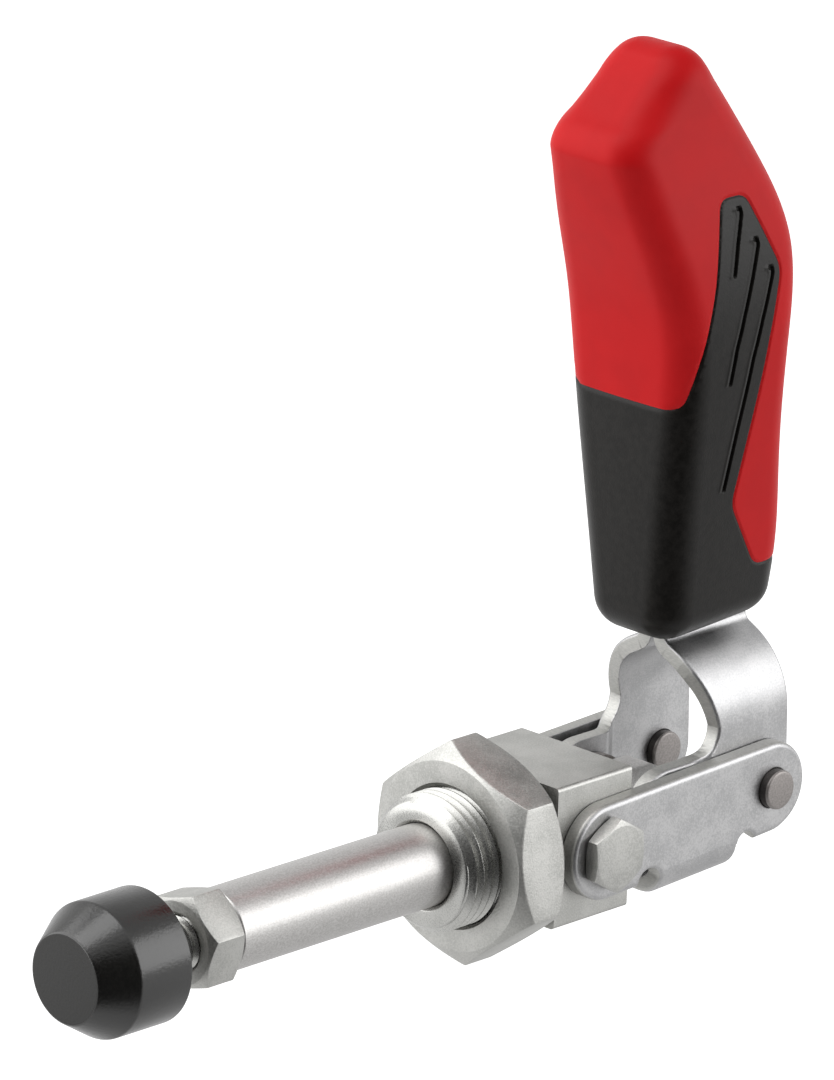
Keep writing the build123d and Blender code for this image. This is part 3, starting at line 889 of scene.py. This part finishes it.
for side, end in ((1, "near"), (-1, "far")):
    head = hexagon_bar(
        across=9.6, corner=30.9, ends=(13.7, 16.1), face_r=4.6, depth=0.42, hole_r=0.0, lead_r=0.0, soft=0.12
    )
    shank = turned([(6.5, 0.0), (6.5, 2.8), (6.7, 3.0), (13.8, 3.0)], 48)
    bolt = across_y(joined(head, shank), side, PIVOT_A)
    add_piece("hexagon_bolt_" + end, bolt, [zinc_turned], "base", "pivot_bolt_" + end, 28)
    rivet_profile = softened([(6.95, 0.0), (6.95, 2.9), (15.1, 2.9), (15.1, 0.0)], 0.4)
    rivet_points, rivet_faces = across_y(turned(rivet_profile, 64), side, PIVOT_B)
    ends = [[abs(rivet_points[k][1]) for k in f] for f in rivet_faces]
    # Faces along the rivet's side get the very dark steel, which is painted shade of the gap round it.
    rivet_faces = [(f, 1 if max(y) - min(y) > 1 else 0) for f, y in zip(rivet_faces, ends)]
    add_piece(
        "stub_rivet_" + end, (rivet_points, rivet_faces), [plain_steel, rivet_side_painted_shade],
        "yoke", "link_rivet_" + end, 50,
    )

for node, finish_of_node in (
    ("pivot_bush_near", ground_steel),
    ("pivot_bush_far", ground_steel),
    ("plunger_pin", plain_steel),
    ("pin_spacer_near", plain_steel),
    ("pin_spacer_far", plain_steel),
):
    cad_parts[node].material_slots[0].material = finish_of_node
print("carried over from the solids: bushes, pin and spacers")

# %% [markdown]
# ## Grip
# The grip is moulded in two plastics: a hard black core with a panel on each side and a foot, and a soft
# red shell over its top, front and back. Both lie on one smooth form, so the form comes first: at each
# height a rounded rectangle that reaches from the rear outline to the front one. Then it is parted
# along the border of the two plastics.

# %% Draw the grip's outlines
def smooth_curve(knots, steps=24):
    """Points of a smooth curve through the knots: a natural cubic along their distances."""
    knots = np.array(knots, float)
    gaps = np.linalg.norm(np.diff(knots, axis=0), axis=1)
    count = len(knots)
    system = np.eye(count)
    target = np.zeros((count, 2))
    for k in range(1, count - 1):
        system[k, k - 1:k + 2] = gaps[k - 1], 2 * (gaps[k - 1] + gaps[k]), gaps[k]
    target[1:-1] = 6 * np.diff(np.diff(knots, axis=0) / gaps[:, None], axis=0)
    bow = np.linalg.solve(system, target)
    curve = []
    for k in range(count - 1):
        for t in np.linspace(0, 1, steps, endpoint=False):
            a, b, gap = 1 - t, t, gaps[k]
            curve.append(
                a * knots[k] + b * knots[k + 1]
                + ((a ** 3 - a) * bow[k] + (b ** 3 - b) * bow[k + 1]) * gap ** 2 / 6
            )
    return curve + [knots[-1]]


def arc_through(first, middle, last, steps=24):
    """Points of the arc through three points."""
    a, b, c = (np.array(point) for point in (first, middle, last))
    centre = np.linalg.solve(2 * np.array([b - a, c - b]), [b @ b - a @ a, c @ c - b @ b])
    start, end = (math.atan2(p[1] - centre[1], p[0] - centre[0]) for p in (a, c))
    sweep = end - start
    if abs(sweep) > math.pi:
        sweep -= math.copysign(2 * math.pi, sweep)
    radius = math.dist(first, centre)
    angles = start + sweep * np.linspace(0, 1, steps + 1)
    return [centre + radius * np.array([math.cos(a), math.sin(a)]) for a in angles]


FRONT = [(-24.0, 23.6), (-22.9, 38.2), (-21.6, 58.0), (-19.7, 74.8), (-15.4, 86.9), (-11.6, 97.6)]
REAR = [(-47.6, 23.6), (-48.3, 38.0), (-47.2, 47.5), (-45.8, 68.8), (-45.9, 83.0), (-41.0, 94.5)]
REAR += [(-30.6, 109.6)]
SIDE = [(23.6, 8.4), (38.2, 9.7), (56.7, 11.7), (72.0, 12.8), (85.5, 11.6), (97.0, 9.6), (113.0, 7.6)]
apex = arc_through((-22.5, 110.0), (-26.6, 111.8), (-30.6, 109.6), 40)
front_line = smooth_curve(FRONT) + arc_through((-11.6, 97.6), (-12.2, 100.2), (-14.2, 102.2), 12)
front_line = np.array(front_line + [p for p in apex if p[0] > -26.55])
rear_line = np.array(smooth_curve(REAR) + [p for p in reversed(apex) if p[0] < -26.55])
side_line = np.array(smooth_curve(SIDE))
GRIP_FOOT = 23.6
GRIP_TOP = float(max(p[1] for p in apex))
print("grip from", GRIP_FOOT, "to", round(GRIP_TOP, 2), "mm above the plunger's axis")

# %% [markdown]
# ## The grip's form
# The fillet on the grip's long edges has a radius of five millimetres. Where the outline leans, a level
# cut through that fillet is an ellipse, longer the more it leans. At the foot and at the top the rings
# shrink the way a ball of the same radius would round them.

# %% Stack the rings
ROUND = 5.0
CROWN = 0.035
FOOT_FRONT = 0.8
FOOT_RISE = 1.5
FOOT_LENGTH = 23.7
FOOT_REACH = 22.0
CORNER_COLUMNS = 12
SIDE_COLUMNS = 46
END_COLUMNS = 24


def ring(rear, front, half, round_y, round_front, round_rear):
    """A rounded rectangle of (x, y), the same count of points on every ring."""
    length = front - rear
    round_y = min(round_y, half * 0.999)
    share = min(1.0, 0.999 * length / max(round_front + round_rear, 1e-6))
    round_front *= share
    round_rear *= share
    corners = [
        (front - round_front, half - round_y, round_front, 0, SIDE_COLUMNS),
        (rear + round_rear, half - round_y, round_rear, 90, END_COLUMNS),
        (rear + round_rear, round_y - half, round_rear, 180, SIDE_COLUMNS),
        (front - round_front, round_y - half, round_front, 270, END_COLUMNS),
    ]
    starts = []
    points = []
    for x, y, round_x, start, run in corners:
        angles = [math.radians(start + 90 * k / CORNER_COLUMNS) for k in range(CORNER_COLUMNS + 1)]
        bow = [(x + round_x * math.cos(a), y + round_y * math.sin(a)) for a in angles]
        starts.append((bow, run))
    for number, (bow, run) in enumerate(starts):
        after = starts[(number + 1) % 4][0][0]
        points += bow
        for k in range(1, run):
            t = k / run
            points.append((bow[-1][0] * (1 - t) + after[0] * t, bow[-1][1] * (1 - t) + after[1] * t))
    return points


def grip_ring(height, shrink_foot, shrink_top):
    front = float(np.interp(height, front_line[:, 1], front_line[:, 0]))
    rear = float(np.interp(height, rear_line[:, 1], rear_line[:, 0]))
    half = float(np.interp(height, side_line[:, 0], side_line[:, 1]))
    leans = []
    for line in (front_line, rear_line):
        low, high = height - 3.5, min(height + 3.5, GRIP_TOP - 0.001)
        change = np.interp(high, line[:, 1], line[:, 0]) - np.interp(low, line[:, 1], line[:, 0])
        leans.append(math.hypot(1, change / (high - low)))
    left = ROUND - shrink_foot
    side = half - shrink_foot - shrink_top
    ends = (rear + shrink_foot, front - shrink_foot)
    flat = ring(*ends, side, left - shrink_top, left * leans[0], left * leans[1])
    middle = (front + rear) / 2
    reach = (front - rear) / 2
    return [
        (x - (x - middle) * CROWN * (y / half) ** 2, y - y * CROWN * ((x - middle) / reach) ** 2, height)
        for x, y in flat
    ]


def lifted(point):
    """The foot is square to the leaning grip, so it rises a little to the rear."""
    x, y, z = point
    share = max(1 - (z - GRIP_FOOT) / FOOT_REACH, 0) ** 2
    return (x, y, z + share * (FOOT_FRONT + FOOT_RISE * (FRONT[0][0] - x) / FOOT_LENGTH))


rings = []
for angle in np.linspace(15, 84, 9):
    a = math.radians(angle)
    rings.append(grip_ring(GRIP_FOOT + ROUND * (1 - math.cos(a)), ROUND * (1 - math.sin(a)), 0.0))
for height in np.arange(GRIP_FOOT + 4.9, GRIP_TOP - 4.9, 0.5):
    rings.append(grip_ring(float(height), 0.0, 0.0))
for angle in np.linspace(86, 3, 22):
    a = math.radians(angle)
    rings.append(grip_ring(GRIP_TOP - ROUND * (1 - math.cos(a)), 0.0, ROUND * (1 - math.sin(a))))
rings = [[lifted(point) for point in one] for one in rings]
columns = len(rings[0])
print(len(rings), "rings of", columns, "points")

# %% [markdown]
# ## Parting the two plastics
# The border is drawn on the side view and goes straight through the grip. Every point gets its distance
# from the border, positive on the black side. An edge of the mesh whose ends have different signs is
# cut where the distance is zero, so both plastics end exactly on the line. The points on the line are
# pressed in a little, which leaves the fine groove that shows where two shots of plastic meet.

# %% Part the grip
PANEL = [(0.0, 60.9), (-23.0, 60.9), (-24.4, 68.1), (-26.9, 78.6), (-28.8, 90.8), (-33.9, 90.8)]
PANEL += [(-40.4, 79.3), (-38.3, 69.5), (-34.3, 44.9), (-40.9, 34.4), (-60.0, 34.4)]
border = softened(PANEL, 1.7, 8)
region = border + [np.array((-60.0, 0.0)), np.array((0.0, 0.0))]


def distance_to(line, spots):
    """Distance of each (x, z) spot from a line of points."""
    line = np.array(line)
    best = np.full(len(spots), 1e9)
    for a, b in zip(line[:-1], line[1:]):
        way = b - a
        t = np.clip((spots - a) @ way / max(way @ way, 1e-12), 0, 1)
        best = np.minimum(best, np.hypot(*(spots - a - t[:, None] * way).T))
    return best


def inside(outline, spots):
    """True for each (x, z) spot inside a closed outline."""
    outline = np.array(outline)
    hit = np.zeros(len(spots), bool)
    for a, b in zip(outline, np.roll(outline, -1, axis=0)):
        crosses = (a[1] > spots[:, 1]) != (b[1] > spots[:, 1])
        if a[1] == b[1]:
            continue
        x = a[0] + (spots[:, 1] - a[1]) * (b[0] - a[0]) / (b[1] - a[1])
        hit ^= crosses & (spots[:, 0] < x)
    return hit


form = bmesh.new()
verts = [form.verts.new(point) for one in rings for point in one]
for row in range(len(rings) - 1):
    for corners in band(row * columns, (row + 1) * columns, columns):
        form.faces.new([verts[c] for c in corners])
form.faces.new(verts[-columns:])
form.normal_update()
spots = np.array([(v.co.x, v.co.z) for v in form.verts])
depth_in_black = distance_to(border, spots) * np.where(inside(region, spots), 1, -1)
black = form.verts.layers.float.new("black")
for vert, value in zip(form.verts, depth_in_black):
    vert[black] = float(value) if abs(value) > 0.02 else 0.0
for edge in list(form.edges):
    a, b = edge.verts
    if a[black] * b[black] < 0:
        share = a[black] / (a[black] - b[black])
        made = bmesh.utils.edge_split(edge, a, share)[1]
        made[black] = 0.0
for face in list(form.faces):
    on_line = [v for v in face.verts if v[black] == 0.0]
    if len(on_line) == 2 and len({v[black] > 0 for v in face.verts if v[black] != 0.0}) == 2:
        if form.edges.get(on_line) is None:
            bmesh.utils.face_split(face, on_line[0], on_line[1])
form.normal_update()
print("the parted form has", len(form.faces), "faces")

# %% [markdown]
# ## Slots in the black panels
# Each panel has three long narrow slots, which give the fingers hold, and a low soft ridge beside each.
# The mesh there and along the two plastics' border is divided four times finer, and its points are moved
# in or out by their distance from the line.

# %% Press in the border and the slots
SLOTS = [
    [(-32.0, 89.0), (-32.5, 89.0), (-32.7, 88.2), (-31.5, 84.0), (-30.6, 79.8)],
    [(-35.0, 84.2), (-35.5, 84.2), (-35.7, 83.4), (-32.6, 73.8), (-31.3, 69.0), (-30.6, 64.0)],
    [(-37.8, 79.7), (-38.3, 79.7), (-38.5, 78.9), (-36.4, 72.6), (-34.9, 67.0), (-33.4, 57.5), (-32.1, 47.7)],
]
SLOT_HALF = 0.36
SLOT_WALL = 0.14
SLOT_DEPTH = 0.55
RIDGE_AWAY = 0.85
RIDGE_HALF = 0.25
RIDGE_HEIGHT = 0.09
GROOVE_HALF = 0.22
GROOVE_DEPTH = 0.20
END_GROOVE_DEPTH = 0.18
SLOT_FINE = 1.3
GROOVE_FINE = 0.8
slot_lines = [softened(knots, 0.3, 4) for knots in SLOTS]


def slot_distance(spots):
    return np.min([distance_to(line, spots) for line in slot_lines], axis=0)


centres = np.array([f.calc_center_median() for f in form.faces])[:, [0, 2]]
close = (slot_distance(centres) < SLOT_FINE) | (distance_to(border, centres) < GROOVE_FINE)
fine = [f for f, near in zip(form.faces, close) if near and abs(f.normal.y) > 0.8]
bmesh.ops.subdivide_edges(
    form, edges=list({e for f in fine for e in f.edges}), cuts=3, use_grid_fill=True
)
form.normal_update()
verts = list(form.verts)
spots = np.array([(v.co.x, v.co.z) for v in verts])
away = slot_distance(spots)
beside = slot_distance(spots - np.array([RIDGE_AWAY, 0.0]))
to_border = distance_to(border, spots)
for vert, to_slot, to_ridge, to_line in zip(verts, away, beside, to_border):
    push = 0.0
    if abs(vert.normal.y) > 0.7:
        push -= SLOT_DEPTH * min(max((SLOT_HALF - to_slot) / SLOT_WALL, 0.0), 1.0)
        push += RIDGE_HEIGHT * math.exp(-(to_ridge / RIDGE_HALF) ** 2)
        push -= GROOVE_DEPTH * math.exp(-(to_line / GROOVE_HALF) ** 2)
    elif vert[black] == 0.0:
        push -= END_GROOVE_DEPTH
    vert.co += vert.normal * push
print("fine faces around the slots and the border:", len(fine) * 16)

# %% [markdown]
# ## The two pieces of the grip
# The form's faces are now shared out: those on the black side make the core, the others the shell. The
# core's foot gets the mouth through which both tangs go up into the grip.

# %% Make the core and the shell
def faces_of(wanted):
    chosen = [face for face in form.faces if (sum(v[black] for v in face.verts) > 0) == wanted]
    numbers = {}
    for face in chosen:
        for vert in face.verts:
            numbers.setdefault(vert, len(numbers))
    points = [tuple(vert.co) for vert in numbers]
    return points, [tuple(numbers[vert] for vert in face.verts) for face in chosen]


mouth = ring(-42.6, -29.6, 4.5, 0.8, 0.8, 0.8)
lip = ring(-42.9, -29.3, 4.65, 1.0, 1.0, 1.0)
inner_rings = [(lip, 0.08), (mouth, 0.35), (mouth, 6.0)]
foot_points = rings[0] + [lifted((x, y, GRIP_FOOT + rise)) for one, rise in inner_rings for x, y in one]
foot_faces = []
for row in range(len(inner_rings)):
    foot_faces += band(row * columns, (row + 1) * columns, columns)
foot_faces.append(tuple(len(inner_rings) * columns + k for k in range(columns)))
core = joined(faces_of(True), (foot_points, foot_faces))
add_piece("black_core", core, [hard_plastic], "lever", "grip_core", 50)
add_piece("red_cover", faces_of(False), [soft_plastic], "lever", "grip_shell", 50)
form.free()

# %% [markdown]
# ## Light
# The picture is lit by two large soft lamps, one on each side, and a smaller one above. The steel shows
# them as long white bands. Between them it shows the room, which is white with three darker soft areas:
# behind the clamp, around the camera and below. The world is that room, so its strength depends on the
# direction. Where the camera looks past the clamp it is plain white, also through anything clear.

# %% Light the room
room = bpy.data.worlds.new("room")
bpy.context.scene.world = room
light = Finish(room)
way = light.node("ShaderNodeTexCoord", output=0)


def toward_share(direction, low, high):
    """1 in the middle of a soft spot of the room in that direction, 0 outside it."""
    spot = Vector(direction).normalized()
    facing = light.node(
        "ShaderNodeVectorMath", {"operation": "DOT_PRODUCT"}, {0: way, 1: tuple(spot)}, output=1
    )
    return light.between(low, high, facing)


behind = toward_share((-0.68, -0.05, 0.72), 0.72, 0.97)
at_camera = toward_share((0.62, 0.78, -0.05), 0.42, 0.86)
below = toward_share((-0.50, 0.10, -0.86), 0.55, 0.95)
shown = 1.0 - behind * 0.30 - at_camera * 0.93 - below * 0.25
camera_ray, diffuse_ray, glossy_ray, through_ray = (
    light.node("ShaderNodeLightPath", output=number) for number in (0, 2, 3, 6)
)
strength = camera_ray + through_ray + glossy_ray * shown + diffuse_ray * 0.07
background = light.node("ShaderNodeBackground", {}, {"Color": (1, 1, 1, 1), "Strength": strength})
light.node("ShaderNodeOutputWorld", {}, {"Surface": background})


def soft_lamp(name, direction, distance, width, height, power):
    """A large rectangular lamp that looks at the middle of the clamp."""
    middle = Vector((-0.01, 0.0, 0.045))
    lamp = bpy.data.lights.new(name, "AREA")
    lamp.shape = "RECTANGLE"
    lamp.size = width
    lamp.size_y = height
    lamp.energy = power
    holder = bpy.data.objects.new(name, lamp)
    aim = Vector(direction).normalized()
    holder.location = middle + aim * distance
    holder.rotation_euler = aim.to_track_quat("Z", "Y").to_euler()
    bpy.context.scene.collection.objects.link(holder)
    print(name, "gives", power, "W")


soft_lamp("right_lamp", (-0.56, 0.78, 0.30), distance=0.7, width=0.7, height=0.55, power=2.45)
soft_lamp("left_lamp", (0.70, -0.60, 0.42), distance=0.7, width=0.9, height=0.9, power=4.1)
soft_lamp("top_lamp", (0.35, -0.10, 0.93), distance=0.8, width=0.5, height=0.5, power=1.9)

# %% [markdown]
# ## Floor
# The real clamp is bolted to a fixture by its neck, and its lever swings far below the plunger, so it
# doesn't stand on a floor. The floor lies just below the lowest point that the grip reaches. It is matt
# and pale, and for the camera it gives off the light that makes it white, and keeps a soft shadow.

# %% Lay the floor
FLOOR_HEIGHT = -0.125
FLOOR_RADIUS = 3.5
FLOOR_CORNERS = 64
floor_mesh = bpy.data.meshes.new("floor")
floor_rim = arc((0.0, 0.0), FLOOR_RADIUS, 0, 360, FLOOR_CORNERS)[:-1]
floor_mesh.from_pydata([(x, y, 0.0) for x, y in floor_rim], [], [tuple(range(FLOOR_CORNERS))])
floor_finish, paint, floor_place = new_finish("floor")
matt = paint.node("ShaderNodeBsdfDiffuse", {}, {"Color": (0.8, 0.8, 0.8, 1)})
camera_ray = paint.node("ShaderNodeLightPath", output=0)
from_middle = paint.node("ShaderNodeVectorMath", {"operation": "LENGTH"}, {0: floor_place}, output=1)
own_light = paint.node("ShaderNodeEmission", {}, {
    "Color": (1, 1, 1, 1),
    "Strength": camera_ray * (0.68 + 0.35 * paint.between(0.15, 0.45, from_middle)),
})
both = paint.node("ShaderNodeAddShader", {}, {0: matt, 1: own_light})
paint.node("ShaderNodeOutputMaterial", {}, {"Surface": both})
floor_mesh.materials.append(floor_finish)
floor = bpy.data.objects.new("floor", floor_mesh)
floor.location = (0, 0, FLOOR_HEIGHT)
bpy.context.scene.collection.objects.link(floor)
floor.visible_glossy = False
bpy.context.scene.view_settings.view_transform = "Standard"
